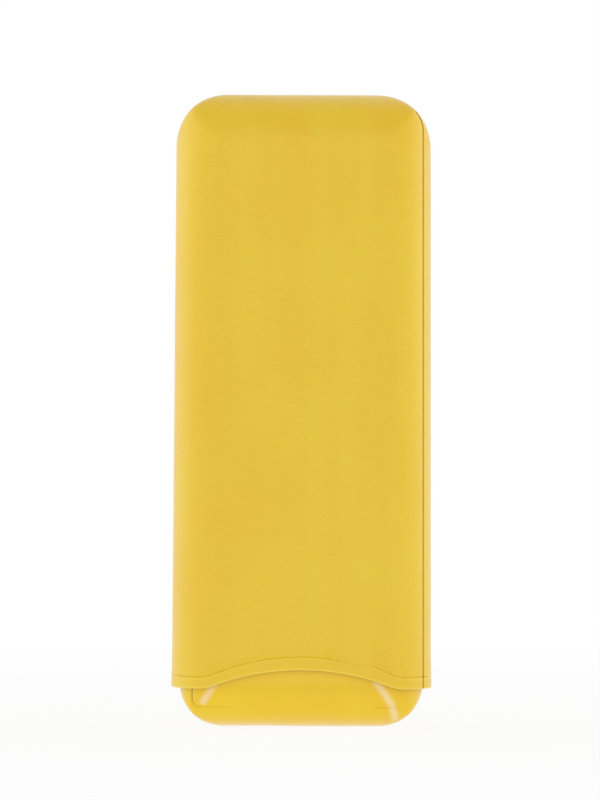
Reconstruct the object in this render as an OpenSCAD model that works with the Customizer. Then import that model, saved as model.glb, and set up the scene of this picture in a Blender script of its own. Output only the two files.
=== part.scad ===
// Telescoping cigar case for three cigars: a moulded leather cap that slides down over a moulded
// leather base. Each shell is two leather panels lapped along their edges, over a stiff board and
// a thin lining. The case stands on the base's closed end. Front faces -Y, up is +Z.
//
// A shell is drawn with its mouth at z = 0 and its closed end up. The base is the same design as
// the cap, one wall smaller and turned over.

/* [Cap] */
// Width of the cap across its mouth
cap_w = 70; // [66:0.5:76]
// Depth of the cap from front to back
cap_d = 29; // [28:0.5:34]
// Height of the cap from its mouth to its closed end
cap_h = 159.4; // [140:0.1:180]
// How much nearer the middle each side is at the closed end than at the mouth
flare = 0.7; // [0.3:0.1:1.2]
// Radius of the four long edges
edge_r = 12.5; // [10:0.5:13]
// Radius of the closed end's corners, seen from the front
corner_r = 14; // [13:0.25:16]
// Radius with which the front and back roll over the closed end
roll_r = 12.5; // [10:0.5:13]

/* [Base] */
// Height of the base that shows below the closed cap
base_show = 10.6; // [8:0.1:16]
// Sliding gap between the cap's lining and the base
slide_gap = 0.3; // [0.2:0.05:0.5]
// Gap between the base's rim and the place where the cap's end starts to round
rim_gap = 0.4; // [0.3:0.1:2]

/* [Walls] */
// Thickness of the leather
leather_t = 1; // [0.8:0.1:1.3]
// Thickness of the stiff board inside the leather
board_t = 0.4; // [0.3:0.1:0.8]
// Thickness of the lining
lining_t = 0.3; // [0.2:0.1:0.6]
// Thickness of the glue between two layers
glue_t = 0.05; // [0.02:0.01:0.08]
// Gap between two edges that butt
butt_gap = 0.1; // [0.05:0.05:0.2]
// Height of the leather hem turned in over the board at the mouth
hem_h = 1.5; // [1:0.1:2.5]
// Straight skirt of the dished end boards beyond the rounded corners
end_board_skirt = 2; // [1:0.5:5]

/* [Mouth] */
// Width of the shallow arch cut into the mouth, front and back
arch_w = 56; // [40:1:60]
// Height of the arch
arch_h = 5.1; // [3:0.1:7]
// Radius that leads from the straight mouth into the arch
arch_foot_r = 13; // [8:1:20]
// Height of the pressed crease above the cap's mouth
crease_up = 3.3; // [2.6:0.1:5]
// Width of the crease
crease_w = 0.6; // [0.4:0.1:1]
// Depth of the crease
crease_depth = 0.25; // [0.15:0.05:0.4]

/* [Seams] */
// Distance of the wrapping panel's long edge from the side
wrap_edge = 2.5; // [2:0.1:3]
// Distance of the facing panel's long edge from the side
face_edge = 3.8; // [3:0.1:5]
// Distance of the cap's end seam from its closed end
cap_end_seam = 4.9; // [4.5:0.1:6]
// Distance of the base's end seam from its closed end
base_end_seam = 5.7; // [4.5:0.1:6]
// Height over which the long seam turns in to meet the end seam
seam_turn_h = 5; // [3:0.5:7]
// Radius of the facing panel's corner
face_corner_r = 2.3; // [1:0.1:4]
// Width of the lap, where one panel lies over the other
lap_w = 6; // [4:0.5:8]
// Thickness of the thinned edge that lies on top in a lap
lap_edge_t = 0.45; // [0.4:0.05:0.6]
// Width of the dip beside a lapped edge
dip_w = 0.8; // [0.5:0.1:1.2]
// Depth of the dip beside a lapped edge
dip_depth = 0.3; // [0.2:0.05:0.35]

/* [Hidden] */
$fn = 96;

leather_colour = "#E8C43C";
board_colour = "#8A7A66";
lining_colour = "#D9B98A";

// Beyond every side of the case, for cuts that go right through
far = 100;
// Start of every form below the mouth, which the mouth's cut then trims
below = 10;
// Overlap of a cut past the face that it opens
past = 1;
// Straight steps in each turned corner of a seam
turn_steps = 8;
// Height by which the arch's foot arcs stop short of the point where they meet its crown
arc_lap = 0.05;

// Depths below a shell's outer face at which its layers lie
board_in = leather_t + glue_t;
hem_in = board_in + board_t;
lining_in = hem_in + glue_t;
wall_t = lining_in + lining_t;

// The base's outer face lies this far inside the cap's
base_in = wall_t + slide_gap;
lean = atan(flare / cap_h);
base_h = base_show + cap_h - corner_r - rim_gap;
base_mouth_side = cap_w / 2 - (base_h - base_show) * tan(lean);
end_board_h = corner_r + end_board_skirt;

// A shell is given by the height of its closed end, the distance of its sides from the middle at
// the mouth, the lean of its sides, the depth of its outer face inside the cap's, and the distance
// of its end seam from its closed end.
cap = [cap_h, cap_w / 2, lean, 0, cap_end_seam];
base = [base_h + base_in, base_mouth_side, -lean, base_in, base_end_seam];

function end_z(s) = s[0] - s[3];
function side_x(s, z) = s[1] - s[3] - z * tan(s[2]);
function seam_z(s) = end_z(s) - s[4];

// How far in from the side a shell's outline has come at the height of the end seam
function outline_in(s) =
    let (r = corner_r - s[3], rise = r - s[4])
    r - sqrt(r * r - rise * rise);

// Solid form of a shell at a depth below its outer face. Two leaning prisms give the sides, a
// third gives the corners seen from the front, and a fourth the roll over the closed end.
module form(s, depth) {
    i = s[3] + depth;
    intersection() {
        side_prism(s, i);
        mirror([1, 0, 0]) side_prism(s, i);
        front_to_back(-far, far) corner_outline(s, i);
        rotate([90, 0, 90]) translate([0, 0, -far]) linear_extrude(2 * far) roll_outline(s, i);
    }
}

// Extrudes a shape drawn in X and Z from one Y to another
module front_to_back(y0, y1) {
    translate([0, y1, 0]) rotate([90, 0, 0]) linear_extrude(y1 - y0) children();
}

// Quarter round cut for a corner at the origin that keeps the side towards -X and -Y
module corner_cut(r) {
    translate([-r, -r]) difference() {
        square(r + past);
        circle(r);
    }
}

module side_prism(s, i) {
    w = s[1] - i;
    d = cap_d / 2 - i;
    translate([w, 0, 0]) rotate([0, -s[2], 0]) translate([0, 0, -below])
        linear_extrude(s[0] + 2 * below) difference() {
            translate([-far, -d]) square([far, 2 * d]);
            translate([0, d]) corner_cut(edge_r - i);
            mirror([0, 1]) translate([0, d]) corner_cut(edge_r - i);
        }
}

module corner_outline(s, i) {
    end = s[0] - i;
    w = s[1] - i - end * tan(s[2]);
    difference() {
        translate([-far, -below]) square([2 * far, end + below]);
        for (m = [0, 1]) mirror([m, 0]) translate([w, end]) corner_side_cut(corner_r - i);
    }
}

// Corner cut that also clears everything beside the corner
module corner_side_cut(r) {
    translate([-r, -r]) difference() {
        square([r + far, r + past]);
        circle(r);
    }
}

module roll_outline(s, i) {
    end = s[0] - i;
    d = cap_d / 2 - i;
    difference() {
        translate([-d, -below]) square([2 * d, end + below]);
        for (m = [0, 1]) mirror([m, 0]) translate([d, end]) corner_cut(roll_r - i);
    }
}

// Everything below the mouth's edge, with the edge raised by a height. The arch is one arc that
// meets a foot arc of the opposite curve at each end.
module mouth_cut(up = 0) {
    half = arch_w / 2;
    both_r = (half * half + arch_h * arch_h) / (2 * arch_h);
    crown_r = both_r - arch_foot_r;
    crown_z = arch_h - crown_r;
    meet_z = crown_z + (arch_foot_r - crown_z) * crown_r / both_r;
    translate([0, 0, up]) {
        translate([-far, -far, -far]) cube([2 * far, 2 * far, far]);
        front_to_back(-far, far) translate([0, crown_z]) circle(crown_r, $fn = 360);
        front_to_back(-far, far) difference() {
            translate([-half, -past]) square([arch_w, meet_z + past - arc_lap]);
            for (m = [0, 1]) mirror([m, 0]) translate([half, arch_foot_r]) circle(arch_foot_r);
        }
    }
}

// Area of the wrapping panel in front, grown by a distance. Its long edge runs parallel to the
// side and turns near the closed end to meet the end seam on the outline.
module wrap_area(s, grow = 0) {
    z_turn = seam_z(s) - seam_turn_h;
    turn_in = outline_in(s) - wrap_edge;
    edge = [
        for (k = [0:turn_steps])
            let (t = k / turn_steps, z = z_turn + t * seam_turn_h)
            [side_x(s, z) - wrap_edge - turn_in * t * t + grow, z]
    ];
    polygon(concat(
        [[-far, -below], [side_x(s, -below) - wrap_edge + grow, -below]],
        edge,
        [[edge[turn_steps][0], far * 2], [-far, far * 2]]
    ));
}

// Strip of the wrapping panel that laps over the facing panel in front, grown at its outer edge
module wrap_lap(s, grow) {
    top = seam_z(s) - seam_turn_h;
    polygon([
        [side_x(s, -below) - wrap_edge - lap_w, -below],
        [side_x(s, -below) - wrap_edge + grow, -below],
        [side_x(s, top) - wrap_edge + grow, top],
        [side_x(s, top) - wrap_edge - lap_w, top]
    ]);
}

// Area of the facing panel at the back, grown by a distance, with one rounded corner
module face_area(s, grow = 0) {
    top = seam_z(s) + grow;
    centre_z = top - face_corner_r;
    left = -side_x(s, centre_z) + face_edge - grow;
    arc = [
        for (k = [0:turn_steps])
            let (a = 90 + 90 * k / turn_steps)
            [left + face_corner_r * (1 + cos(a)), centre_z + face_corner_r * sin(a)]
    ];
    polygon(concat(
        [[far, -below], [far, top]],
        arc,
        [[-side_x(s, -below) + face_edge - grow, -below]]
    ));
}

// Strip of the facing panel that laps over the wrapping panel at the back, grown at its outer edge
module face_lap(s, grow) {
    intersection() {
        difference() {
            face_area(s, grow);
            face_area(s, -lap_w);
        }
        translate([-far, -below]) square([far + side_x(s, 0) - corner_r, far * 2]);
    }
}

// Leather of a whole shell, with its hem turned in at the mouth
module leather_shell(s, creased) {
    difference() {
        form(s, 0);
        mouth_cut();
        difference() {
            form(s, leather_t);
            mouth_cut(hem_h);
        }
        form(s, hem_in);
        if (creased) difference() {
            mouth_cut(crease_up + crease_w);
            mouth_cut(crease_up);
            form(s, crease_depth);
        }
    }
}

// Panel that covers the front, one side and the closed end. It lies on top in the front seam and
// underneath in the back seam.
module wrap_panel(s, creased) {
    difference() {
        leather_shell(s, creased);
        front_to_back(-far, 0) difference() {
            translate([-far, -below]) square([2 * far, far * 3]);
            wrap_area(s);
        }
        intersection() {
            form(s, lap_edge_t);
            front_to_back(-far, 0) wrap_lap(s, past);
        }
        front_to_back(0, far) difference() {
            face_area(s, butt_gap);
            face_lap(s, past);
        }
        difference() {
            front_to_back(0, far) face_lap(s, butt_gap);
            form(s, lap_edge_t + glue_t);
        }
        difference() {
            front_to_back(0, far) difference() {
                face_area(s, dip_w);
                face_area(s);
            }
            form(s, dip_depth);
        }
    }
}

// Panel that covers the back and the other side, underneath in the front seam and on top in the
// back seam
module face_panel(s, creased) {
    difference() {
        leather_shell(s, creased);
        front_to_back(0, far) difference() {
            translate([-far, -below]) square([2 * far, far * 3]);
            face_area(s);
        }
        intersection() {
            form(s, lap_edge_t);
            front_to_back(0, far) face_lap(s, past);
        }
        front_to_back(-far, 0) difference() {
            wrap_area(s, butt_gap);
            translate([butt_gap, 0]) wrap_lap(s, past);
        }
        difference() {
            front_to_back(-far, 0) wrap_lap(s, butt_gap);
            form(s, lap_edge_t + glue_t);
        }
        difference() {
            front_to_back(-far, 0) difference() {
                wrap_area(s, dip_w);
                wrap_area(s);
            }
            form(s, dip_depth);
        }
    }
}

// Half space in front of the middle, or behind it when turned, less half a butt gap
module front_half(turned) {
    rotate([0, 0, turned ? 180 : 0]) translate([-far, -far, -far])
        cube([2 * far, far - butt_gap / 2, 4 * far]);
}

// Stiff board of the front or the back, bent round the long edges
module face_board(s, turned) {
    intersection() {
        difference() {
            form(s, board_in);
            form(s, board_in + board_t);
            mouth_cut(hem_h + butt_gap);
            translate([-far, -far, end_z(s) - end_board_h]) cube([2 * far, 2 * far, far]);
        }
        front_half(turned);
    }
}

// Dished board that closes the end
module end_board(s) {
    difference() {
        form(s, board_in);
        form(s, board_in + board_t);
        translate([-far, -far, -below])
            cube([2 * far, 2 * far, end_z(s) - end_board_h + butt_gap + below]);
    }
}

module lining_half(s, turned) {
    intersection() {
        difference() {
            form(s, lining_in);
            form(s, wall_t);
            mouth_cut();
        }
        front_half(turned);
    }
}

module place_cap() {
    translate([0, 0, base_show]) children();
}

module place_base() {
    translate([0, 0, base_h]) rotate([180, 0, 0]) children();
}

module cap_wrap_leather() {
    color(leather_colour) place_cap() wrap_panel(cap, true);
}

module cap_face_leather() {
    color(leather_colour) place_cap() face_panel(cap, true);
}

module cap_front_board() {
    color(board_colour) place_cap() face_board(cap, false);
}

module cap_back_board() {
    color(board_colour) place_cap() face_board(cap, true);
}

module cap_end_board() {
    color(board_colour) place_cap() end_board(cap);
}

module cap_front_lining() {
    color(lining_colour) place_cap() lining_half(cap, false);
}

module cap_back_lining() {
    color(lining_colour) place_cap() lining_half(cap, true);
}

module base_wrap_leather() {
    color(leather_colour) place_base() wrap_panel(base, false);
}

module base_face_leather() {
    color(leather_colour) place_base() face_panel(base, false);
}

module base_front_board() {
    color(board_colour) place_base() face_board(base, true);
}

module base_back_board() {
    color(board_colour) place_base() face_board(base, false);
}

module base_end_board() {
    color(board_colour) place_base() end_board(base);
}

module base_front_lining() {
    color(lining_colour) place_base() lining_half(base, true);
}

module base_back_lining() {
    color(lining_colour) place_base() lining_half(base, false);
}

cap_wrap_leather();
cap_face_leather();
cap_front_board();
cap_back_board();
cap_end_board();
cap_front_lining();
cap_back_lining();
base_wrap_leather();
base_face_leather();
base_front_board();
base_back_board();
base_end_board();
base_front_lining();
base_back_lining();
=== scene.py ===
import math

import bmesh
import bpy
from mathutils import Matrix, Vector, noise


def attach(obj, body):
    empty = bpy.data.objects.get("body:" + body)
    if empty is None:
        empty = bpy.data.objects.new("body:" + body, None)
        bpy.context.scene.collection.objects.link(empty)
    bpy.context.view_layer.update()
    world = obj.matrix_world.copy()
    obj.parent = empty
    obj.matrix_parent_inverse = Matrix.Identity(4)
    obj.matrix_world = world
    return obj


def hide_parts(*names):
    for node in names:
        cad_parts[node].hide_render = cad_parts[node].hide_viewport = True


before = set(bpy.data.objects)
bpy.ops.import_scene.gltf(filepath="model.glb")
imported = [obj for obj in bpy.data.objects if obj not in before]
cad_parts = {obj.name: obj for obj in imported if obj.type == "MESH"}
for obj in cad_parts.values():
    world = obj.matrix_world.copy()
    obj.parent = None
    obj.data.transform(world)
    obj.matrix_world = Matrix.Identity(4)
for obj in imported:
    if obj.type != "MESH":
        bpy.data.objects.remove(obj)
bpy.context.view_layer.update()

mm = 0.001
least = 1e-6            # mm, places nearer than this are the same place
print("frame loaded:", len(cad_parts), "nodes")


def clamp(t):
    return min(1.0, max(0.0, t))


def smooth(t):
    # from 0 to 1 with a soft start and end
    t = clamp(t)
    return t * t * (3 - 2 * t)


def softMax(p, q, width):
    # the larger of two values, blended where they are nearer than a width
    top = max(p, q)
    if width > 0 and abs(p - q) < width:
        top += (width - abs(p - q)) ** 2 / (4 * width)
    return top


def spread(first, last, count):
    # values strictly between two ends
    return [first + (last - first) * k / (count + 1) for k in range(1, count + 1)]


# the block that the leather is moulded on, in mm, mouth at z = 0 and closed end up

block = {
    "halfDepth": 14.5,
    "roll": 12.5,           # long edges and the roll over the closed end
    "cornerLeft": 14.5,     # closed end's corners seen from the front, uneven as on the real one
    "cornerRight": 15.0,
    "ridge": 0.32,          # how soft the ridges between the rolls are
    "lean": 0.7 / 159.4,    # each side draws in by 0.7 over the cap's height
}
halfFlat = block["halfDepth"] - block["roll"]
capShell = {
    "name": "cap",
    "end": 159.4,           # height of the block's closed end
    "side": 35.0,           # half the block's width at the mouth
    "lean": block["lean"],
    "inside": 0.0,          # how far the leather's face lies inside the block's
    "endSeam": 4.9,         # end seam, down from the closed end
    "faceCorner": 1.2,      # radius of the facing panel's corner
    "faceTurn": 1.1,        # how much its long edge turns in towards that corner
    "buttRound": 1.0,       # how round the edges are where the panels only butt
    "creased": True,        # with the pressed line above the mouth
    "mouthAt": 10.6,        # height of the mouth in the closed case
    "mouthUp": False,
}
baseShell = {
    "name": "base",
    "end": 157.7,
    "side": 34.363,
    "lean": -block["lean"],
    "inside": 2.1,
    "endSeam": 5.7,
    "faceCorner": 2.3,
    "faceTurn": 0.0,
    "buttRound": 0.35,
    "creased": False,
    "mouthAt": 155.6,
    "mouthUp": True,
}
walk = {"far": 20.0, "halvings": 19, "step": 0.02}     # how the block's skin is found, in mm


def rollOf(shell):
    return block["roll"] - shell["inside"]


def rollStart(shell):
    return shell["end"] - block["roll"]


def endOf(shell):
    return shell["end"] - shell["inside"]


def seamHeight(shell):
    return endOf(shell) - shell["endSeam"]


def sideMiddle(shell, z):
    # where the flat of the front ends and the roll to the side starts
    return shell["side"] - z * shell["lean"] - block["roll"]


def beyond(shell, x, y, z, depth):
    # distance of a point outside the moulded form, at a depth below its outer face
    roll = rollOf(shell) - depth
    aside = max(0.0, abs(x) - sideMiddle(shell, z))
    ahead = max(0.0, abs(y) - halfFlat)
    above = max(0.0, z - rollStart(shell))
    ridge = block["ridge"] * roll
    around = softMax(aside ** 2 + ahead ** 2, ahead ** 2 + above ** 2, ridge * min(aside, above))
    outline = block["cornerRight"] if x > 0 else block["cornerLeft"]
    upCorner = z - shell["end"] + outline
    if upCorner > 0:
        cornerRadius = outline - shell["inside"] - depth
        middle = shell["side"] - (shell["end"] - outline) * shell["lean"] - outline
        inCorner = max(0.0, abs(x) - middle)
        seen = (inCorner ** 2 + upCorner ** 2) * (roll / cornerRadius) ** 2
        around = softMax(around, seen, ridge * min(ahead, inCorner, upCorner))
    return math.sqrt(around) - roll


def reach(shell, start, way, z, depth):
    # walks outwards from inside the block to its skin
    near, far = 0.0, walk["far"]
    for halving in range(walk["halvings"]):
        middle = (near + far) / 2
        if beyond(shell, start[0] + way[0] * middle, start[1] + way[1] * middle, z, depth) > 0:
            far = middle
        else:
            near = middle
    return start[0] + way[0] * near, start[1] + way[1] * near


def outwards(shell, x, y, z):
    # the way that the moulded skin faces
    step = walk["step"]
    here = beyond(shell, x, y, z, 0.0)
    slope = Vector((
        beyond(shell, x + step, y, z, 0.0) - here,
        beyond(shell, x, y + step, z, 0.0) - here,
        beyond(shell, x, y, z + step, 0.0) - here,
    ))
    return slope.normalized()


arch = {
    "half": 28.0,           # half the width of the arched mouth
    "height": 5.1,
    "foot": 13.0,           # radius where the arch meets the straight edge
    "fadeFrom": 6.0,        # further up the sheet's rows straighten out
    "fadeOver": 34.0,
}


def archAt(x):
    # height of the arched mouth's edge
    half, high, foot = arch["half"], arch["height"], arch["foot"]
    both = (half * half + high * high) / (2 * high)
    crown = both - foot
    x = abs(x)
    if x >= half:
        return 0.0
    if x < half * crown / both:
        return math.sqrt(crown * crown - x * x) + high - crown
    return foot - math.sqrt(foot * foot - (half - x) ** 2)


# seams: the wrapping panel lies on top in the front seam, the facing panel in the back one

seam = {
    "wrapEdge": 2.5,        # the panels' long edges, in from the sides
    "faceEdge": 3.8,
    "turn": 5.0,            # height over which they turn in below the end seam
    "fromOutline": 0.65,    # where the wrapping panel's edge ends, in from the rounded corner
    "holdBelow": 0.3,       # from this far below the end seam up they keep their places
    "measuredAt": 60.0,     # height at which the columns beside them are spaced
    "lap": 6.0,
    "lapTop": 0.45,         # thickness of the thinned edge
    "glue": 0.05,
    "dip": 0.3,             # the other panel is pressed down beside that edge
    "dipWidth": 0.8,
    "edgeRound": 0.22,
    "cornerFade": 0.8,      # the sheet is bent this far round the facing panel's corner
    "cornerBelow": 12.0,    # and from this far below the end seam up
    "faceNear": 0.05,       # a place this near the back's skin lies on it
    "dyeAndShade": (0.3, 0.65),    # how dark the painted shade and dye in the base's hollows are at the end seam, and away from it
    "dyeAndShadeFrom": 0.5,
    "dyeAndShadeOver": 2.0,
}


def turnIn(shell, z):
    # 0 up to where the long edges start to turn in, 1 at the end seam
    return clamp((z - seamHeight(shell) + seam["turn"]) / seam["turn"]) ** 2


def wrapEdgeX(shell, z):
    # the wrapping panel's long edge in front, which turns in near the closed end
    radius = block["cornerRight"] - shell["inside"]
    rise = radius - shell["endSeam"]
    outlineIn = radius - math.sqrt(radius * radius - rise * rise) + seam["fromOutline"]
    side = shell["side"] - shell["inside"] - z * shell["lean"]
    return side - seam["wrapEdge"] - (outlineIn - seam["wrapEdge"]) * turnIn(shell, z)


def faceEdgeX(shell, z):
    # the facing panel's long edge at the back, as a distance from the middle
    z = min(z, seamHeight(shell) - shell["faceCorner"])
    side = shell["side"] - shell["inside"] - z * shell["lean"]
    return side - seam["faceEdge"] - shell["faceTurn"] * turnIn(shell, z)


foundAngles = {}


def seamAngle(shell, edgeX, z, depth, hand):
    # angle round the roll at which a seam lies at one height
    key = (shell["name"], round(edgeX, 3), round(z, 3), round(depth, 2), hand)
    if key not in foundAngles:
        x, y = reach(shell, (hand * edgeX, 0.0), (0.0, 1.0), z, depth)
        aside = max(0.0, abs(x) - sideMiddle(shell, z))
        foundAngles[key] = math.atan2(aside, max(least, y - halfFlat))
    return foundAngles[key]


# the sheet that each panel is moulded from: its columns run up from the mouth, its rows run round

sheetPlan = {
    "flat": 56,                 # patches across a main face
    "turn": 24,                 # patches round a roll without a seam
    "besideWrapEdge": (8, 8),   # columns in the rest of a roll with a seam, before and after it
    "besideFaceEdge": (5, 11),
    "body": 28,                 # rows up the body, to a gap below the roll or the lap
    "bodyGap": 1.5,
    "belowLap": 4,
    "end": 13,                  # rows over the closed end's roll, up to an angle
    "endAngle": 82.5,
    "drawIn": 5.0,              # the flat columns draw in by this much over the last 3 mm
    "drawOver": 3.0,
    "sideStart": 4.0,           # the sides are found from this far inside the flat's ends
}
# distances from a seam at which there are columns and rows, and heights of the rows near the mouth
beforeSeam = [-6.0, -5.2, -4.4, -3.7, -3.0, -2.4, -1.8, -1.3, -0.9, -0.6, -0.35, -0.16, -0.05, 0.0]
afterSeam = [0.08, 0.2, 0.36, 0.56, 0.8, 1.2]
mouthRows = [0.0, 0.07, 0.22, 0.5, 1.0, 1.5, 1.9]
creaseRows = [2.3 + 0.13 * k for k in range(18)]
plainRows = [2.8, 3.6]
lowRows = [4.8, 5.6, 6.8, 8.6, 11.0, 14.0]


def seamColumns(where, toSeam, toSide, counts):
    # the columns of a roll with a seam, by their distances from it
    offs = spread(-toSeam, beforeSeam[0], counts[0]) + beforeSeam + afterSeam
    offs += spread(afterSeam[-1], toSide, counts[1])
    return [{"at": where, "off": off, "before": toSeam, "after": toSide} for off in offs]


def makeColumns(shell):
    # once round the shell, from the left of the front
    z = seam["measuredAt"]
    toWrap = rollOf(shell) * seamAngle(shell, wrapEdgeX(shell, z), z, 0.0, 1)
    toFace = rollOf(shell) * seamAngle(shell, faceEdgeX(shell, z), z, 0.0, -1)
    quarter = rollOf(shell) * math.pi / 2
    flat = [-1 + 2 * k / sheetPlan["flat"] for k in range(sheetPlan["flat"] + 1)]
    turns = [1 - k / sheetPlan["turn"] for k in range(1, sheetPlan["turn"])]
    columns = [{"at": "front", "share": share} for share in flat]
    columns += seamColumns("frontRight", toWrap, quarter - toWrap, sheetPlan["besideWrapEdge"])
    columns += [{"at": "right", "share": share} for share in (-1, 0, 1)]
    columns += [{"at": "backRight", "share": share} for share in turns]
    columns += [{"at": "back", "share": -share} for share in flat]
    columns += seamColumns("backLeft", toFace, quarter - toFace, sheetPlan["besideFaceEdge"])
    columns += [{"at": "left", "share": share} for share in (1, 0, -1)]
    columns += [{"at": "frontLeft", "share": share} for share in turns]
    return columns


def makeRows(shell):
    # heights from the mouth up
    top, roll, start = seamHeight(shell), rollOf(shell), rollStart(shell)
    rows = mouthRows + (creaseRows if shell["creased"] else plainRows) + lowRows
    lapEnd = top + beforeSeam[0]
    bodyEnd = min(lapEnd, start) - sheetPlan["bodyGap"]
    rows += spread(rows[-1], bodyEnd, sheetPlan["body"]) + [bodyEnd]
    rows += spread(bodyEnd, lapEnd, sheetPlan["belowLap"])
    rows += [top + off for off in beforeSeam + afterSeam]
    first = math.asin((rows[-1] - start) / roll)
    last = math.radians(sheetPlan["endAngle"])
    angles = spread(first, last, sheetPlan["end"]) + [last]
    return rows + [start + roll * math.sin(angle) for angle in angles]


def handOf(column):
    return 1.0 if column["at"].lower().endswith("right") else -1.0


def anchorX(shell, z):
    # where the flat columns end
    drawn = smooth((z - endOf(shell) + sheetPlan["drawOver"]) / sheetPlan["drawOver"])
    return sideMiddle(shell, z) - sheetPlan["drawIn"] * drawn


def pointOn(shell, column, z, depth):
    # a point on the moulded skin, on one column of the sheet at one height
    where, hand = column["at"], handOf(column)
    back = 1.0 if where.startswith("back") else -1.0
    middle = anchorX(shell, z)
    if where in ("front", "back"):
        return reach(shell, (middle * column["share"], 0.0), (0.0, back), z, depth)
    if where in ("right", "left"):
        start = (hand * (middle - sheetPlan["sideStart"]), halfFlat * column["share"])
        return reach(shell, start, (hand, 0.0), z, depth)
    if "share" in column:
        angle = column["share"] * math.pi / 2
    else:
        low = min(z, seamHeight(shell) - seam["holdBelow"])
        edge = wrapEdgeX(shell, low) if where == "frontRight" else faceEdgeX(shell, low)
        at = seamAngle(shell, edge, low, depth, hand)
        if column["off"] <= 0:
            angle = at * (1 + column["off"] / column["before"])
        else:
            angle = at + (math.pi / 2 - at) * column["off"] / column["after"]
    start = (hand * middle, back * halfFlat)
    return reach(shell, start, (hand * math.sin(angle), back * math.cos(angle)), z, depth)


def roundSeamCorner(shell, x, y, z, depth):
    # bends the rows and columns of the sheet round the facing panel's corner
    radius, top = shell["faceCorner"], seamHeight(shell)
    across = x + faceEdgeX(shell, top) - radius
    up = z - top + radius
    if across >= 0 or up <= 0 or y < 0:
        return x, y, z
    square = max(-across, up)
    share = 1 - smooth((square - radius) / seam["cornerFade"])
    onTheEnd = abs(reach(shell, (x, 0.0), (0.0, 1.0), z, depth)[1] - y) > seam["faceNear"]
    if share <= 0 or onTheEnd:
        return x, y, z
    shift = (square / math.hypot(across, up) - 1) * share
    x, z = x + across * shift, z + up * shift
    x, y = reach(shell, (x, 0.0), (0.0, 1.0), z, depth)
    return x, y, z


# depths of the two faces of a panel at each place of the sheet

leather = {
    "thick": 1.0,
    "hem": 1.45,            # thicker at the mouth, up to the height of hemTo
    "hemTo": 1.5,
    "thinnest": 0.02,
}
# round of the mouth's rim: height, least depth of the outer face, depth of the inner one
mouthRound = [(0.0, 0.42, 1.05), (0.07, 0.17, 1.28), (0.22, 0.045, 1.41), (0.5, 0.0, 1.45)]
crease = {
    "width": 0.62,
    "deep": 0.26,
    "lip": 0.05,            # raised at both sides of the line
    "lipPlace": 1.6,        # in half widths of the line
    "lipWidth": 0.6,
    "bodyDepth": 0.07,      # the band below the line stands this much prouder than the body
    "bodyFrom": 0.3,
    "bodyOver": 2.5,
    "sideUp": 3.2,          # how far above the mouth's edge the line runs
    "crownUp": 3.64,
    "fadeFrom": 8.0,        # where the hand-pressed line runs out and is taken up again
    "fadeTo": 17.0,
    "fadeDrop": 0.7,
    "restart": 18.2,
    "restartOver": 1.2,
    "restartPress": 0.25,
    "restartUp": 0.75,
    "restartEnd": 27.0,
    "dyeAndShade": (0.12, 0.45),   # how dark the painted shade and dye in the line are, in the middle and towards the sides
    "dyeAndShadeFrom": 11.0,
    "dyeAndShadeOver": 8.0,
    "shine": 0.55,          # painted highlight on the lip below it
    "shineBelow": 0.42,
    "shineWidth": 0.28,
    "rimShine": 0.8,        # painted highlight on the edge of the mouth
    "rimUp": 0.4,
}
# slight hollows left by the hand moulding, which fade out towards the mouth
wave = {"deep": 0.11, "size": 17.0, "fine": 0.03, "fineSize": 5.0, "from": 12.0}
# a short fold under the left corner of the base's front seam
pleat = {"x": -26.3, "width": 0.4, "deep": 0.12, "from": 149.2, "to": 153.4, "fadeIn": 1.0, "fadeOut": 2.0}
# the base's end seam in front is pressed flush, except near its corner and for a stretch at the right
flush = {"from": -1.0, "left": 0.05, "corner": 18.0, "cornerOver": 3.5, "rightEnd": 24.5, "rightOver": 3.0}


def between(ends, t):
    # from one value to another as t goes from 0 to 1
    return ends[0] + (ends[1] - ends[0]) * smooth(t)


def dipAt(distance):
    # how far the leather is pressed down beside a lapped edge
    return seam["dip"] * (1 - smooth(distance / seam["dipWidth"]))


def edgeRoundAt(distance):
    # how much a cut edge is rounded, by distance inside it
    radius = seam["edgeRound"]
    t = clamp(1 - distance / radius)
    return radius * (1 - math.sqrt(max(0.0, 1 - t * t)))


def creaseLine(x, y):
    # height and strength of the pressed line, which parts and restarts at the right of the front
    up = crease["sideUp"] + (crease["crownUp"] - crease["sideUp"]) * archAt(x) / arch["height"]
    press = 1.0
    if y < 0 and crease["fadeFrom"] < x < crease["restart"]:
        gone = (x - crease["fadeFrom"]) / (crease["fadeTo"] - crease["fadeFrom"])
        press = 1 - smooth(gone)
        up -= crease["fadeDrop"] * gone
    elif y < 0 and crease["restart"] <= x < crease["restartEnd"]:
        left = (crease["restartEnd"] - x) / (crease["restartEnd"] - crease["restart"])
        press = smooth((x - crease["restart"]) / crease["restartOver"] + crease["restartPress"])
        up += crease["restartUp"] * left
    return up, press


def creaseAt(x, y, z):
    # depth of the pressed line and of the body above it
    up, press = creaseLine(x, y)
    across = abs(z - up) / (crease["width"] / 2)
    band = crease["bodyDepth"] * smooth((z - up + crease["bodyFrom"]) / crease["bodyOver"])
    if across < 1:
        return band + press * crease["deep"] * (0.5 + 0.5 * math.cos(math.pi * across))
    fromLip = abs(across - crease["lipPlace"])
    return band - press * crease["lip"] * max(0.0, 1 - fromLip / crease["lipWidth"])


def shineAt(x, y, z):
    # how bright the painted highlight is on the rim, and on the lip below the pressed line
    if z < crease["rimUp"]:
        return crease["rimShine"]
    up, press = creaseLine(x, y)
    fromShine = abs(up - z - crease["shineBelow"])
    return crease["shine"] * press * max(0.0, 1 - fromShine / crease["shineWidth"])


def waveAt(x, y, z):
    # always inwards
    slow = noise.noise(Vector((x, y, z)) / wave["size"])
    quick = noise.noise(Vector((x, y, z)) / wave["fineSize"])
    return wave["deep"] * (0.5 + 0.5 * slow) + wave["fine"] * (0.5 + 0.5 * quick)


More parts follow.
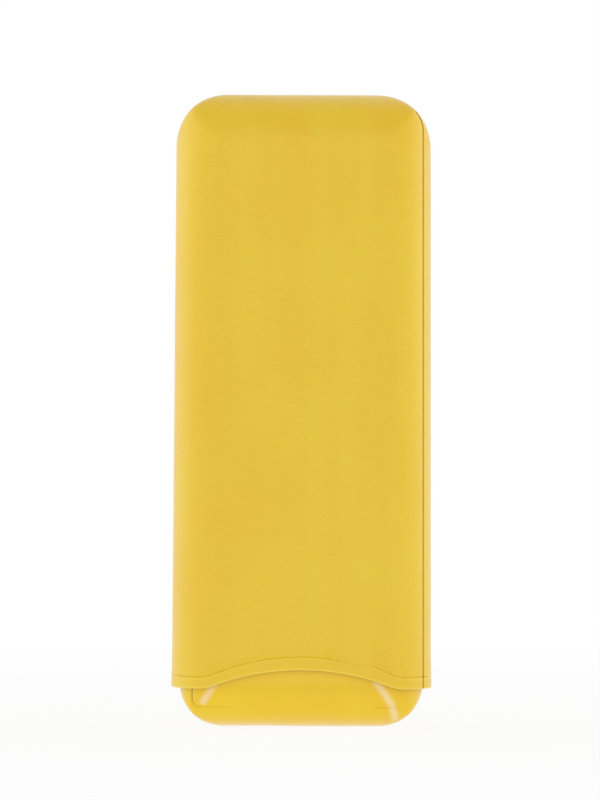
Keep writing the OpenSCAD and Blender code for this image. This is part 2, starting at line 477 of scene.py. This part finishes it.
def pleatAt(x, y, z):
    if y < 0:
        return 0.0
    away = max(0.0, 1 - abs(x - pleat["x"]) / pleat["width"])
    start = smooth((z - pleat["from"] + pleat["fadeIn"]) / pleat["fadeIn"])
    return pleat["deep"] * smooth(away) * start * smooth((pleat["to"] - z) / pleat["fadeOut"])


def onBack(column):
    where = column["at"]
    return where in ("backRight", "back", "backLeft") or (where == "right" and column["share"] >= 0)


def atEndButt(column):
    # the short stretch over the right corner where the two panels only butt
    where = column["at"]
    return (where == "frontRight" and column["off"] > 0) or (where == "right" and column["share"] < 0)


def pastFaceEdge(column, rowUp):
    # distance past the facing panel's edge at the back, or None in front
    if column["at"] == "backLeft":
        return max(column["off"], rowUp)
    return rowUp if onBack(column) else None


def seamShow(shell, column, rowUp, x):
    # how much of a seam's relief shows
    if shell["creased"] or rowUp <= flush["from"] or not column["at"].startswith("back"):
        return 1.0
    corner = smooth((abs(x) - flush["corner"]) / flush["cornerOver"])
    shown = corner * (1 - smooth((x - flush["rightEnd"]) / flush["rightOver"]))
    return flush["left"] + (1 - flush["left"]) * shown


def plainDepth(shell, spot):
    # depth of the outer face before its seams, and how dark the painted shade and dye lie there
    if shell["creased"]:
        depth = creaseAt(*spot)
        dyeAndShade = between(crease["dyeAndShade"], (abs(spot[0]) - crease["dyeAndShadeFrom"]) / crease["dyeAndShadeOver"])
        dark = dyeAndShade * max(0.0, depth - crease["bodyDepth"]) / crease["deep"]
    else:
        depth, dark = pleatAt(*spot), 0.0
    return max(0.0, depth + waveAt(*spot) * smooth(spot[2] / wave["from"])), dark


def wrapDepths(outer, pastFront, pastBack, rowUp, show, lapInner):
    # the wrapping panel: on top in the front seam, under the facing panel at the back
    inner = leather["thick"]
    if pastFront is not None and rowUp >= 0:
        if pastFront > 0:
            outer += dipAt(pastFront) * (1 - smooth(rowUp / seam["dipWidth"]))
        else:
            outer += edgeRoundAt(math.hypot(pastFront, rowUp))
    if pastBack is not None:
        hidden = pastBack < 0 or (pastBack == 0 and show > 0.5)
        outer = seam["lapTop"] + seam["glue"] if hidden else outer + dipAt(pastBack) * show
    if pastFront is not None and -seam["lap"] <= pastFront <= 0 and rowUp <= 0:
        outer += edgeRoundAt(-pastFront) if rowUp < 0 else 0.0
        inner = lapInner
    return outer, inner


def faceDepths(outer, pastFront, pastBack, show, lapInner):
    # the facing panel: under the wrapping one in front, on top at the back
    inner = leather["thick"]
    if pastFront is not None:
        outer = seam["lapTop"] + seam["glue"] if pastFront <= 0 else outer + dipAt(pastFront)
    if pastBack is not None and -seam["lap"] <= pastBack <= 0:
        outer += edgeRoundAt(-pastBack) * show
        inner = lapInner
    return outer, inner


def panelDepths(shell, panel, column, spot, rowUp):
    # depths of the outer and inner face, and how dark the painted shade and dye lie there
    outer, dark = plainDepth(shell, spot)
    flat = outer
    pastBack = pastFaceEdge(column, rowUp)
    pastFront = column["off"] if column["at"] == "frontRight" else None
    show = seamShow(shell, column, rowUp, spot[0])
    lapInner = seam["lapTop"] + waveAt(*spot)
    if atEndButt(column) and (panel == "wrap") == (rowUp >= 0):
        outer += edgeRoundAt(abs(rowUp)) * shell["buttRound"]
    if panel == "wrap":
        outer, inner = wrapDepths(outer, pastFront, pastBack, rowUp, show, lapInner)
    else:
        outer, inner = faceDepths(outer, pastFront, pastBack, show, lapInner)
    dyeAndShade = 1.0
    if not shell["creased"]:
        dyeAndShade = between(seam["dyeAndShade"], (-rowUp - seam["dyeAndShadeFrom"]) / seam["dyeAndShadeOver"])
    # painted shade and dye in the dips beside the seams: the deeper the dip, the darker
    dark = clamp(dark + dyeAndShade * show * max(0.0, outer - flat) / seam["dip"])
    plain = inner == leather["thick"]
    for height, outside, inside in mouthRound:
        if abs(spot[2] - height) < least:
            outer = max(outer, outside)
            inner = max(outer + leather["thinnest"], inside if plain else min(inner, inside))
    if mouthRound[-1][0] < spot[2] <= leather["hemTo"] and plain:
        inner = leather["hem"]
    return outer, inner, dark


def inFacePanel(column):
    where = column["at"]
    if where == "frontRight":
        return column["off"] >= -seam["lap"] - least
    if where == "backLeft":
        return column["off"] <= least
    return where in ("right", "backRight", "back")


def inWrapPanel(column):
    # below the end seam
    where = column["at"]
    if where == "frontRight":
        return column["off"] <= least
    if where == "backLeft":
        return column["off"] >= -seam["lap"] - least
    return where not in ("right", "backRight", "back")


def inPanel(panel, columns, rowUp):
    # whether the patch between two columns, from this row up, belongs to a panel, laps included
    if rowUp >= -least:
        return panel == "wrap"
    if panel == "face":
        return all(inFacePanel(column) for column in columns)
    inEndLap = rowUp >= -seam["lap"] - least and all(onBack(column) for column in columns)
    return inEndLap or all(inWrapPanel(column) for column in columns)


def mouldPlace(shell, panel, column, z):
    # what a place of the sheet becomes: its outer face, the way from there to its inner face, its painted
    # shade and painted highlight
    top, start = seamHeight(shell), rollStart(shell)
    rowUp = z - top if abs(z - top) > least else 0.0
    spot = (*pointOn(shell, column, z, 0.0), z)
    outer, inner, hollowDyeAndShade = panelDepths(shell, panel, column, spot, rowUp)
    paintedHighlight = shineAt(*spot) if shell["creased"] else 0.0
    if z > start:
        z = start + (z - start) * (rollOf(shell) - outer) / rollOf(shell)
    x, y = pointOn(shell, column, z, outer)
    lift = 1 - smooth((z - arch["fadeFrom"]) / arch["fadeOver"])
    if lift > 0:
        z += archAt(x) * lift
        x, y = pointOn(shell, column, z, outer)
    if column["at"] in ("back", "backLeft") and z > top - seam["cornerBelow"]:
        x, y, z = roundSeamCorner(shell, x, y, z, outer)
    inwards = outwards(shell, x, y, z) * (outer - inner)
    return {"face": Vector((x, y, z)), "inwards": inwards, "hollowDyeAndShade": hollowDyeAndShade, "paintedHighlight": paintedHighlight}


def mouldEnd(shell, column):
    # the same for the sheet's last row, which closes on a line in the middle of the closed end
    share = column["share"] if column["at"] in ("front", "back") else handOf(column)
    x, z = anchorX(shell, endOf(shell)) * share, endOf(shell)
    outer = waveAt(x, 0.0, z)
    inwards = Vector((0, 0, outer - leather["thick"]))
    return {"face": Vector((x, 0.0, z - outer)), "inwards": inwards, "hollowDyeAndShade": 0.0, "paintedHighlight": 0.0}


merge = {"places": 0.006, "edges": 0.002}       # mm, nearer places are joined and shorter edges dropped
sharpFrom = 50          # degrees


def deselectAll():
    if bpy.context.object and bpy.context.object.mode != "OBJECT":
        bpy.ops.object.mode_set(mode="OBJECT")
    bpy.ops.object.select_all(action="DESELECT")


def editAll():
    bpy.ops.object.mode_set(mode="EDIT")
    bpy.ops.mesh.select_all(action="SELECT")


def drawSheet(name, across, up):
    # a flat grid that knows its columns and rows; its last column lies on the first
    deselectAll()
    bpy.ops.mesh.primitive_grid_add(x_subdivisions=across, y_subdivisions=up, size=1)
    sheet = bpy.context.object
    sheet.name = sheet.data.name = name
    numbers = range(len(sheet.data.vertices))
    columnOf = sheet.data.attributes.new("sheetColumn", "INT", "POINT")
    columnOf.data.foreach_set("value", [number % (across + 1) % across for number in numbers])
    rowOf = sheet.data.attributes.new("sheetRow", "INT", "POINT")
    rowOf.data.foreach_set("value", [number // (across + 1) for number in numbers])
    return sheet


def trimSheet(sheet, shell, panel, columns, rows):
    # cuts away the part that the other panel covers
    bpy.ops.object.mode_set(mode="EDIT")
    bpy.ops.mesh.select_mode(type="FACE")
    bpy.ops.mesh.select_all(action="DESELECT")
    edit = bmesh.from_edit_mesh(sheet.data)
    for face in edit.faces:
        row, first = divmod(min(corner.index for corner in face.verts), len(columns) + 1)
        beside = (columns[first], columns[(first + 1) % len(columns)])
        face.select = not inPanel(panel, beside, rows[row] - seamHeight(shell))
    bmesh.update_edit_mesh(sheet.data)
    bpy.ops.mesh.delete(type="FACE")
    bpy.ops.object.mode_set(mode="OBJECT")


def sheetPlaces(mesh):
    # the column and row of each vertex
    columnOf, rowOf = mesh.attributes["sheetColumn"].data, mesh.attributes["sheetRow"].data
    return [(columnOf[number].value, rowOf[number].value) for number in range(len(mesh.vertices))]


def closeSheet():
    # joins its ends and its last row, and turns it right side out
    editAll()
    bpy.ops.mesh.remove_doubles(threshold=merge["places"] * mm)
    bpy.ops.mesh.select_all(action="SELECT")
    bpy.ops.mesh.dissolve_degenerate(threshold=merge["edges"] * mm)
    bpy.ops.mesh.select_all(action="SELECT")
    bpy.ops.mesh.normals_make_consistent(inside=False)
    bpy.ops.object.mode_set(mode="OBJECT")


def mouldSheet(sheet, shell, panel, columns, rows):
    # lays the flat sheet on the block, and keeps what each of its places has become
    moulded = {}
    for vertex, place in zip(sheet.data.vertices, sheetPlaces(sheet.data)):
        if place not in moulded:
            column, row = columns[place[0]], place[1]
            if row < len(rows):
                moulded[place] = mouldPlace(shell, panel, column, rows[row])
            else:
                moulded[place] = mouldEnd(shell, column)
        vertex.co = moulded[place]["face"] * mm
    return moulded


def thickenSheet(sheet, moulded):
    # gives the sheet its thickness, and marks its outer face with painted shade and painted highlight for
    # the material
    outerCount = len(sheet.data.vertices)
    wall = sheet.modifiers.new("wall", "SOLIDIFY")
    wall.thickness = leather["thick"] * mm
    wall.offset = -1
    bpy.ops.object.modifier_apply(modifier=wall.name)
    mesh = sheet.data
    places = [moulded[place] for place in sheetPlaces(mesh)]
    for number in range(outerCount, len(places)):
        mesh.vertices[number].co = (places[number]["face"] + places[number]["inwards"]) * mm
    for key in ("hollowDyeAndShade", "paintedHighlight"):
        values = [place[key] for place in places[:outerCount]] + [0.0] * (len(places) - outerCount)
        mesh.attributes.new(key, "FLOAT", "POINT").data.foreach_set("value", values)


def putInCase(shell):
    # from the block to its place in the closed case
    editAll()
    if shell["mouthUp"]:
        bpy.ops.transform.rotate(value=math.pi, orient_axis="X", center_override=(0, 0, 0))
    bpy.ops.transform.translate(value=(0, 0, shell["mouthAt"] * mm))
    bpy.ops.mesh.normals_make_consistent(inside=False)
    bpy.ops.object.mode_set(mode="OBJECT")
    bpy.ops.object.shade_smooth_by_angle(angle=math.radians(sharpFrom))


def makePanel(shell, panel, name):
    # one leather panel: a flat sheet, trimmed to its seams, moulded on the block and thickened
    columns, rows = makeColumns(shell), makeRows(shell)
    sheet = drawSheet(name, len(columns), len(rows))
    trimSheet(sheet, shell, panel, columns, rows)
    moulded = mouldSheet(sheet, shell, panel, columns, rows)
    closeSheet()
    thickenSheet(sheet, moulded)
    putInCase(shell)
    print(name, len(sheet.data.vertices), "vertices")
    return sheet


# materials, all procedural on each piece's own coordinates in metres


def newMaterial(name):
    material = bpy.data.materials.new(name)
    material.use_nodes = True
    tree = material.node_tree
    tree.nodes.clear()
    output = tree.nodes.new("ShaderNodeOutputMaterial")
    shader = tree.nodes.new("ShaderNodeBsdfPrincipled")
    tree.links.new(shader.outputs["BSDF"], output.inputs["Surface"])
    return material, tree, shader


def feed(tree, socket, value):
    # a socket takes a plain value or what another socket gives
    if isinstance(value, bpy.types.NodeSocket):
        tree.links.new(value, socket)
    else:
        socket.default_value = value


def addPlace(tree):
    return tree.nodes.new("ShaderNodeTexCoord").outputs["Object"]


def addMark(tree, name):
    node = tree.nodes.new("ShaderNodeAttribute")
    node.attribute_name = name
    return node.outputs["Fac"]


def addNoise(tree, place, pattern):
    shift = tree.nodes.new("ShaderNodeMapping")
    shift.inputs["Scale"].default_value = pattern.get("stretch", (1, 1, 1))
    tree.links.new(place, shift.inputs["Vector"])
    node = tree.nodes.new("ShaderNodeTexNoise")
    node.inputs["Scale"].default_value = pattern["scale"]
    node.inputs["Detail"].default_value = pattern["detail"]
    tree.links.new(shift.outputs["Vector"], node.inputs["Vector"])
    return node.outputs["Fac"]


def addCells(tree, place, feature, scale):
    node = tree.nodes.new("ShaderNodeTexVoronoi")
    node.feature = feature
    node.inputs["Scale"].default_value = scale
    tree.links.new(place, node.inputs["Vector"])
    return node


def addRange(tree, value, fromLow, fromHigh, toLow=0.0, toHigh=1.0, curve="LINEAR"):
    node = tree.nodes.new("ShaderNodeMapRange")
    node.interpolation_type = curve
    limits = {"From Min": fromLow, "From Max": fromHigh, "To Min": toLow, "To Max": toHigh}
    for socket, number in limits.items():
        node.inputs[socket].default_value = number
    tree.links.new(value, node.inputs["Value"])
    return node.outputs["Result"]


def addMix(tree, share, first, second):
    # first and second are colours or the sockets of colours
    node = tree.nodes.new("ShaderNodeMix")
    node.data_type = "RGBA"
    tree.links.new(share, node.inputs["Factor"])
    for socket, colour in ((node.inputs[6], first), (node.inputs[7], second)):
        feed(tree, socket, (*colour, 1) if isinstance(colour, tuple) else colour)
    return node.outputs[2]


def addPick(tree, share, first, second):
    # first and second are numbers or the sockets of numbers
    node = tree.nodes.new("ShaderNodeMix")
    for socket, value in (("Factor", share), ("A", first), ("B", second)):
        feed(tree, node.inputs[socket], value)
    return node.outputs["Result"]


def addMath(tree, kind, first, second):
    node = tree.nodes.new("ShaderNodeMath")
    node.operation = kind
    feed(tree, node.inputs[0], first)
    feed(tree, node.inputs[1], second)
    return node.outputs[0]


def addVectorMath(tree, kind, *values):
    node = tree.nodes.new("ShaderNodeVectorMath")
    node.operation = kind
    sockets = (node.inputs[0], node.inputs["Scale"]) if kind == "SCALE" else node.inputs
    for socket, value in zip(sockets, values):
        feed(tree, socket, value)
    return node.outputs["Value" if kind in ("DOT_PRODUCT", "DISTANCE", "LENGTH") else "Vector"]


def addBump(tree, height, strength, depth, under=None):
    node = tree.nodes.new("ShaderNodeBump")
    node.inputs["Strength"].default_value = strength
    node.inputs["Distance"].default_value = depth
    tree.links.new(height, node.inputs["Height"])
    if under:
        tree.links.new(under, node.inputs["Normal"])
    return node.outputs["Normal"]


capLook = {
    "name": "yellowCalf",
    "colour": (0.862, 0.590, 0.007),
    "cloud": (0.862, 0.551, 0.004),
    "pale": (0.877, 0.632, 0.016),
    # dark brown: darker dye between the grain's cells, and painted shade in the pressed line and beside the
    # seams
    "hollowDyeAndShade": (0.330, 0.150, 0.012),
    # painted highlight on the mouth's rim and on the lip below the pressed line
    "paintedHighlight": (0.890, 0.665, 0.060),
    "smoothest": 0.36,      # roughness, and what the specks add to it
    "roughest": 0.52,
    "grit": 0.06,
    "grain": 0.6,           # strength of the relief
    "swell": 0.38,
    "creases": 0.09,        # how much of the hollows' dye lies between the cells
    "gloss": 0.5,
    "coat": 0.45,
    "sheen": 0.34,
    "highlightStrips": (),
}
baseLook = {
    "name": "polishedCalf",     # polished by the cap sliding over it, with painted highlights on its shoulders
    "colour": (0.858, 0.578, 0.001),
    "cloud": (0.848, 0.544, 0.001),
    "pale": (0.868, 0.603, 0.002),
    "covered": (0.858, 0.586, 0.022),   # a less saturated yellow above the part that always shows
    "coveredFrom": 0.0105,
    "coveredTo": 0.0133,
    # dark brown: darker dye between the grain's cells, and painted shade beside the seams
    "hollowDyeAndShade": (0.360, 0.165, 0.012),
    # painted highlight in the pale strips on the shoulders
    "paintedHighlight": (0.910, 0.680, 0.300),
    "smoothest": 0.19,
    "roughest": 0.31,
    "grit": 0.015,
    "grain": 0.12,
    "swell": 0.04,
    "creases": 0.04,
    "gloss": 0.26,
    "coat": 0.6,
    "sheen": 0.7,
    # painted highlights: strips on the shoulders where lamps reflect along the moulded ridges, in mm across
    # and up
    "highlightStrips": (
        ((-23.4, 11.8), (-25.0, 9.0), (-26.2, 7.2)),
        ((20.2, 12.0), (22.5, 9.1), (24.0, 6.7), (24.8, 4.1), (25.0, 3.0)),
    ),
    "stripCore": 0.2,
    "stripEdge": 1.6,
}
# what both have: patterns with their cells to a metre, and from where to where and how strongly each shows
leatherFinish = {
    "cloud": {"scale": 34, "detail": 3},
    "cloudShows": (0.38, 0.68),
    "streak": {"scale": 95, "detail": 3, "stretch": (1, 1, 0.07)},
    "streakShows": (0.5, 0.82, 0, 0.7),
    "speck": {"scale": 1500, "detail": 2},
    "speckShows": (0.60, 0.85, 0, 0.15),
    "speckGrit": (0.4, 0.8),
    "grainScale": 2100,
    "grainSoft": 0.6,
    "grainDepth": 0.00022,
    "grainEdge": (0.02, 0.16),
    "warpScale": 900,
    "warpBy": 0.00045,
    "coveredMost": 0.85,
    "hollowDyeAndShadeShows": (0.25, 1.0, 0, 0.85),
    "paintedHighlightShows": (0, 1, 0, 0.9),
    "paintedHighlightPolish": (0, 1, 1.0, 0.6),
    "swell": {"scale": 260, "detail": 4},
    "swellDepth": 0.0005,
    "rub": {"scale": 60, "detail": 5, "stretch": (1, 1, 0.3)},
    "rubShows": (0.3, 0.7),
    "coatRoughness": 0.3,
    "sheenRoughness": 0.35,
    "sheenTint": (1.0, 0.86, 0.78, 1),
}


def addWarp(tree, place, finish):
    # object coordinates, bent a little so that the cells of the grain aren't all alike
    wobble = tree.nodes.new("ShaderNodeTexNoise")
    wobble.inputs["Scale"].default_value = finish["warpScale"]
    wobble.inputs["Detail"].default_value = 1.0
    tree.links.new(place, wobble.inputs["Vector"])
    return addVectorMath(tree, "MULTIPLY_ADD", wobble.outputs["Color"], [finish["warpBy"]] * 3, place)


def addStrip(tree, place, line, look):
    # 1 along a bent line over the front and the back, 0 away from it: the mask of a painted highlight strip
    flat = addVectorMath(tree, "MULTIPLY", place, (1 / mm, 0, 1 / mm))
    nearest = None
    for first, last in zip(line, line[1:]):
        first, last = Vector((first[0], 0, first[1])), Vector((last[0], 0, last[1]))
        way, length = (last - first).normalized(), (last - first).length
        start = addVectorMath(tree, "SUBTRACT", flat, first)
        along = addVectorMath(tree, "DOT_PRODUCT", start, way)
        foot = addVectorMath(tree, "SCALE", way, addRange(tree, along, 0, length, 0, length))
        away = addVectorMath(tree, "DISTANCE", start, foot)
        nearest = addMath(tree, "MINIMUM", nearest, away) if nearest else away
    return addRange(tree, nearest, look["stripCore"], look["stripEdge"], 1.0, 0.0, "SMOOTHSTEP")


def makeLeather(look, finish):
    material, tree, shader = newMaterial(look["name"])
    place = addPlace(tree)
    warped = addWarp(tree, place, finish)

    # dye: slow clouds, long streaks of polishing and fine specks
    speck = addNoise(tree, place, finish["speck"])
    share = addRange(tree, addNoise(tree, place, finish["cloud"]), *finish["cloudShows"])
    dye = addMix(tree, share, look["colour"], look["cloud"])
    share = addRange(tree, addNoise(tree, place, finish["streak"]), *finish["streakShows"])
    dye = addMix(tree, share, dye, look["pale"])
    dye = addMix(tree, addRange(tree, speck, *finish["speckShows"]), dye, look["cloud"])
    # fine creases between the cells of the grain, where the dye lies deeper
    edges = addCells(tree, warped, "DISTANCE_TO_EDGE", finish["grainScale"]).outputs["Distance"]
    dye = addMix(tree, addRange(tree, edges, *finish["grainEdge"], look["creases"], 0), dye, look["hollowDyeAndShade"])
    if "covered" in look:
        heights = tree.nodes.new("ShaderNodeSeparateXYZ")
        tree.links.new(place, heights.inputs["Vector"])
        limits = (look["coveredFrom"], look["coveredTo"], 0, finish["coveredMost"])
        share = addRange(tree, heights.outputs["Z"], *limits, "SMOOTHSTEP")
        dye = addMix(tree, share, dye, look["covered"])
    # painted shade, with darker dye, in the pressed line and in the dips beside the seams
    dye = addMix(tree, addRange(tree, addMark(tree, "hollowDyeAndShade"), *finish["hollowDyeAndShadeShows"]), dye, look["hollowDyeAndShade"])
    # painted highlights: the mouth's rim, the lip below the pressed line and the strips on the base's
    # shoulders; smoother there too
    pale = addMark(tree, "paintedHighlight")
    for line in look["highlightStrips"]:
        pale = addMath(tree, "MAXIMUM", pale, addStrip(tree, place, line, look))
    dye = addMix(tree, addRange(tree, pale, *finish["paintedHighlightShows"]), dye, look["paintedHighlight"])
    tree.links.new(dye, shader.inputs["Base Color"])

    # grain: small soft cells, about half a millimetre wide, on a slow swell
    cells = addCells(tree, warped, "SMOOTH_F1", finish["grainScale"])
    cells.inputs["Smoothness"].default_value = finish["grainSoft"]
    normal = addBump(tree, addNoise(tree, place, finish["swell"]), look["swell"], finish["swellDepth"])
    normal = addBump(tree, cells.outputs["Distance"], look["grain"], finish["grainDepth"], normal)
    tree.links.new(normal, shader.inputs["Normal"])
    rub = addNoise(tree, place, finish["rub"])
    roughness = addRange(tree, rub, *finish["rubShows"], look["smoothest"], look["roughest"])
    grit = addMath(tree, "MULTIPLY", addRange(tree, speck, *finish["speckGrit"]), look["grit"])
    polish = addRange(tree, pale, *finish["paintedHighlightPolish"])
    roughness = addMath(tree, "MULTIPLY", addMath(tree, "ADD", roughness, grit), polish)
    tree.links.new(roughness, shader.inputs["Roughness"])
    for socket, value in (
        ("Specular IOR Level", look["gloss"]),
        ("Coat Weight", look["coat"]),
        ("Coat Roughness", finish["coatRoughness"]),
        ("Sheen Weight", look["sheen"]),
        ("Sheen Roughness", finish["sheenRoughness"]),
        ("Sheen Tint", finish["sheenTint"]),
    ):
        shader.inputs[socket].default_value = value
    return material


leathers = {"cap": makeLeather(capLook, leatherFinish), "base": makeLeather(baseLook, leatherFinish)}
print("leather materials made")

# the four panels

for shell, panel, name, node, body in (
    (capShell, "wrap", "cap_wrap_panel", "cap_wrap_leather", "cap"),
    (capShell, "face", "cap_face_panel", "cap_face_leather", "cap"),
    (baseShell, "wrap", "base_wrap_panel", "base_wrap_leather", "base"),
    (baseShell, "face", "base_face_panel", "base_face_leather", "base"),
):
    piece = makePanel(shell, panel, name)
    piece.data.materials.append(leathers[body])
    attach(piece, body)
    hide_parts(node)

# linings and boards keep their CAD shapes

liningLook = {
    "name": "liningSkin",       # thin undyed skin, polished a little by the cigars
    "colour": (0.560, 0.370, 0.190),
    "dark": (0.430, 0.260, 0.120),
    "pale": (0.640, 0.460, 0.270),
    "cloud": {"scale": 55, "detail": 4},
    "cloudShows": (0.35, 0.7),
    "fine": {"scale": 1400, "detail": 3},
    "fineShows": (0.5, 0.8, 0, 0.6),
    "roughBy": "cloud",
    "roughness": (0.3, 0.7, 0.5, 0.68),
    "bump": (0.2, 0.00012),
}
boardLook = {
    "name": "paperBoard",       # pressed paper with long fibres
    "colour": (0.300, 0.230, 0.160),
    "dark": (0.200, 0.145, 0.095),
    "pale": (0.420, 0.340, 0.250),
    "cloud": {"scale": 180, "detail": 3},
    "cloudShows": (0.35, 0.7),
    "fine": {"scale": 900, "detail": 4, "stretch": (1, 1, 0.12)},
    "fineShows": (0.55, 0.8),
    "roughBy": "fine",
    "roughness": (0.3, 0.7, 0.78, 0.95),
    "bump": (0.3, 0.0001),
}


def makeInner(look):
    material, tree, shader = newMaterial(look["name"])
    place = addPlace(tree)
    noises = {key: addNoise(tree, place, look[key]) for key in ("cloud", "fine")}
    dye = addMix(tree, addRange(tree, noises["cloud"], *look["cloudShows"]), look["colour"], look["dark"])
    dye = addMix(tree, addRange(tree, noises["fine"], *look["fineShows"]), dye, look["pale"])
    tree.links.new(dye, shader.inputs["Base Color"])
    roughness = addRange(tree, noises[look["roughBy"]], *look["roughness"])
    tree.links.new(roughness, shader.inputs["Roughness"])
    tree.links.new(addBump(tree, noises["fine"], *look["bump"]), shader.inputs["Normal"])
    return material


liningSkin, paperBoard = makeInner(liningLook), makeInner(boardLook)
for name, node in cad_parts.items():
    if "lining" in name or "board" in name:
        node.data.materials.clear()
        node.data.materials.append(liningSkin if "lining" in name else paperBoard)
print("linings and boards dressed")

# white studio: the floor and the surroundings show white, the floor keeps a faint shadow

studio = {
    "worldLight": (1.42, 1.08),     # from the camera's side and from behind
    "worldShine": (0.12, 1.0),
    "worldTurn": (-0.9, 0.1),
    "fromAbove": 0.38,
    "aboveTurn": (0.0, 0.9),
    "floorSize": 6,
    "floorColour": (0.9, 0.9, 0.9, 1),
    "floorRoughness": 0.9,
    "floorGlow": 0.9,               # near the case, and white from half a metre away
    "floorGlowTurn": (0.1, 0.5),
    "floorLight": 0.88,
    "sideSize": (1.0, 1.5),
    "sidePlace": (1.05, 0.25, 0.45),
    "sidePower": 2.8,
    "sideAim": (0, 0, 0.08),
}
view = {"lens": 234, "sensor": 36, "place": (-0.0007, -1.401, 0.0878), "turn": (90, -0.25, 0)}


def addMost(tree, path, *rays):
    # 1 for any of the rays named
    most = path.outputs[rays[0]]
    for ray in rays[1:]:
        most = addMath(tree, "MAXIMUM", most, path.outputs[ray])
    return most


def makeFloor():
    deselectAll()
    bpy.ops.mesh.primitive_plane_add(size=studio["floorSize"], location=(0, 0, 0))
    floor = bpy.context.object
    floor.name = "floor"
    material, tree, shader = newMaterial("whiteFloor")
    shader.inputs["Base Color"].default_value = studio["floorColour"]
    shader.inputs["Roughness"].default_value = studio["floorRoughness"]
    path = tree.nodes.new("ShaderNodeLightPath")
    seen = addMost(tree, path, "Is Camera Ray", "Is Glossy Ray", "Is Transmission Ray")
    away = addVectorMath(tree, "LENGTH", addPlace(tree))
    glowing = addRange(tree, away, *studio["floorGlowTurn"], studio["floorGlow"], 1.0)
    glow = tree.nodes.new("ShaderNodeEmission")
    blend = tree.nodes.new("ShaderNodeMixShader")
    tree.links.new(addPick(tree, seen, studio["floorLight"], glowing), blend.inputs["Fac"])
    tree.links.new(shader.outputs["BSDF"], blend.inputs[1])
    tree.links.new(glow.outputs["Emission"], blend.inputs[2])
    tree.links.new(blend.outputs["Shader"], tree.nodes["Material Output"].inputs["Surface"])
    floor.data.materials.append(material)


def makeWorld():
    world = bpy.data.worlds.new("studio")
    bpy.context.scene.world = world
    world.use_nodes = True
    tree = world.node_tree
    tree.nodes.clear()
    output = tree.nodes.new("ShaderNodeOutputWorld")
    around = tree.nodes.new("ShaderNodeBackground")
    path = tree.nodes.new("ShaderNodeLightPath")
    split = tree.nodes.new("ShaderNodeSeparateXYZ")
    tree.links.new(tree.nodes.new("ShaderNodeTexCoord").outputs["Generated"], split.inputs["Vector"])
    light = addRange(tree, split.outputs["Y"], *studio["worldTurn"], *studio["worldLight"])
    above = addRange(tree, split.outputs["Z"], *studio["aboveTurn"], 1.0, studio["fromAbove"])
    light = addMath(tree, "MULTIPLY", light, above)
    shine = addRange(tree, split.outputs["Y"], *studio["worldTurn"], *studio["worldShine"])
    strength = addPick(tree, path.outputs["Is Glossy Ray"], light, shine)
    white = addMost(tree, path, "Is Camera Ray", "Is Transmission Ray")
    tree.links.new(addPick(tree, white, strength, 1.0), around.inputs["Strength"])
    around.inputs["Color"].default_value = (1, 1, 1, 1)
    tree.links.new(around.outputs["Background"], output.inputs["Surface"])


def addSoftbox(name, hand):
    # one large soft lamp at each side
    lamp = bpy.data.lights.new(name, "AREA")
    lamp.shape = "RECTANGLE"
    lamp.size, lamp.size_y = studio["sideSize"]
    lamp.energy = studio["sidePower"]
    holder = bpy.data.objects.new(name, lamp)
    bpy.context.scene.collection.objects.link(holder)
    holder.location = (hand * studio["sidePlace"][0], *studio["sidePlace"][1:])
    aim = Vector(studio["sideAim"]) - Vector(holder.location)
    holder.rotation_euler = aim.to_track_quat("-Z", "Y").to_euler()


def aimCamera():
    camera = bpy.data.objects.new("camera", bpy.data.cameras.new("camera"))
    bpy.context.scene.collection.objects.link(camera)
    camera.data.lens = view["lens"]
    camera.data.sensor_width = view["sensor"]
    camera.location = view["place"]
    camera.rotation_euler = [math.radians(turn) for turn in view["turn"]]
    bpy.context.scene.camera = camera
    bpy.context.scene.view_settings.view_transform = "Standard"


makeFloor()
makeWorld()
for hand in (-1, 1):
    addSoftbox("sideSoftbox", hand)
aimCamera()
print("studio lit")
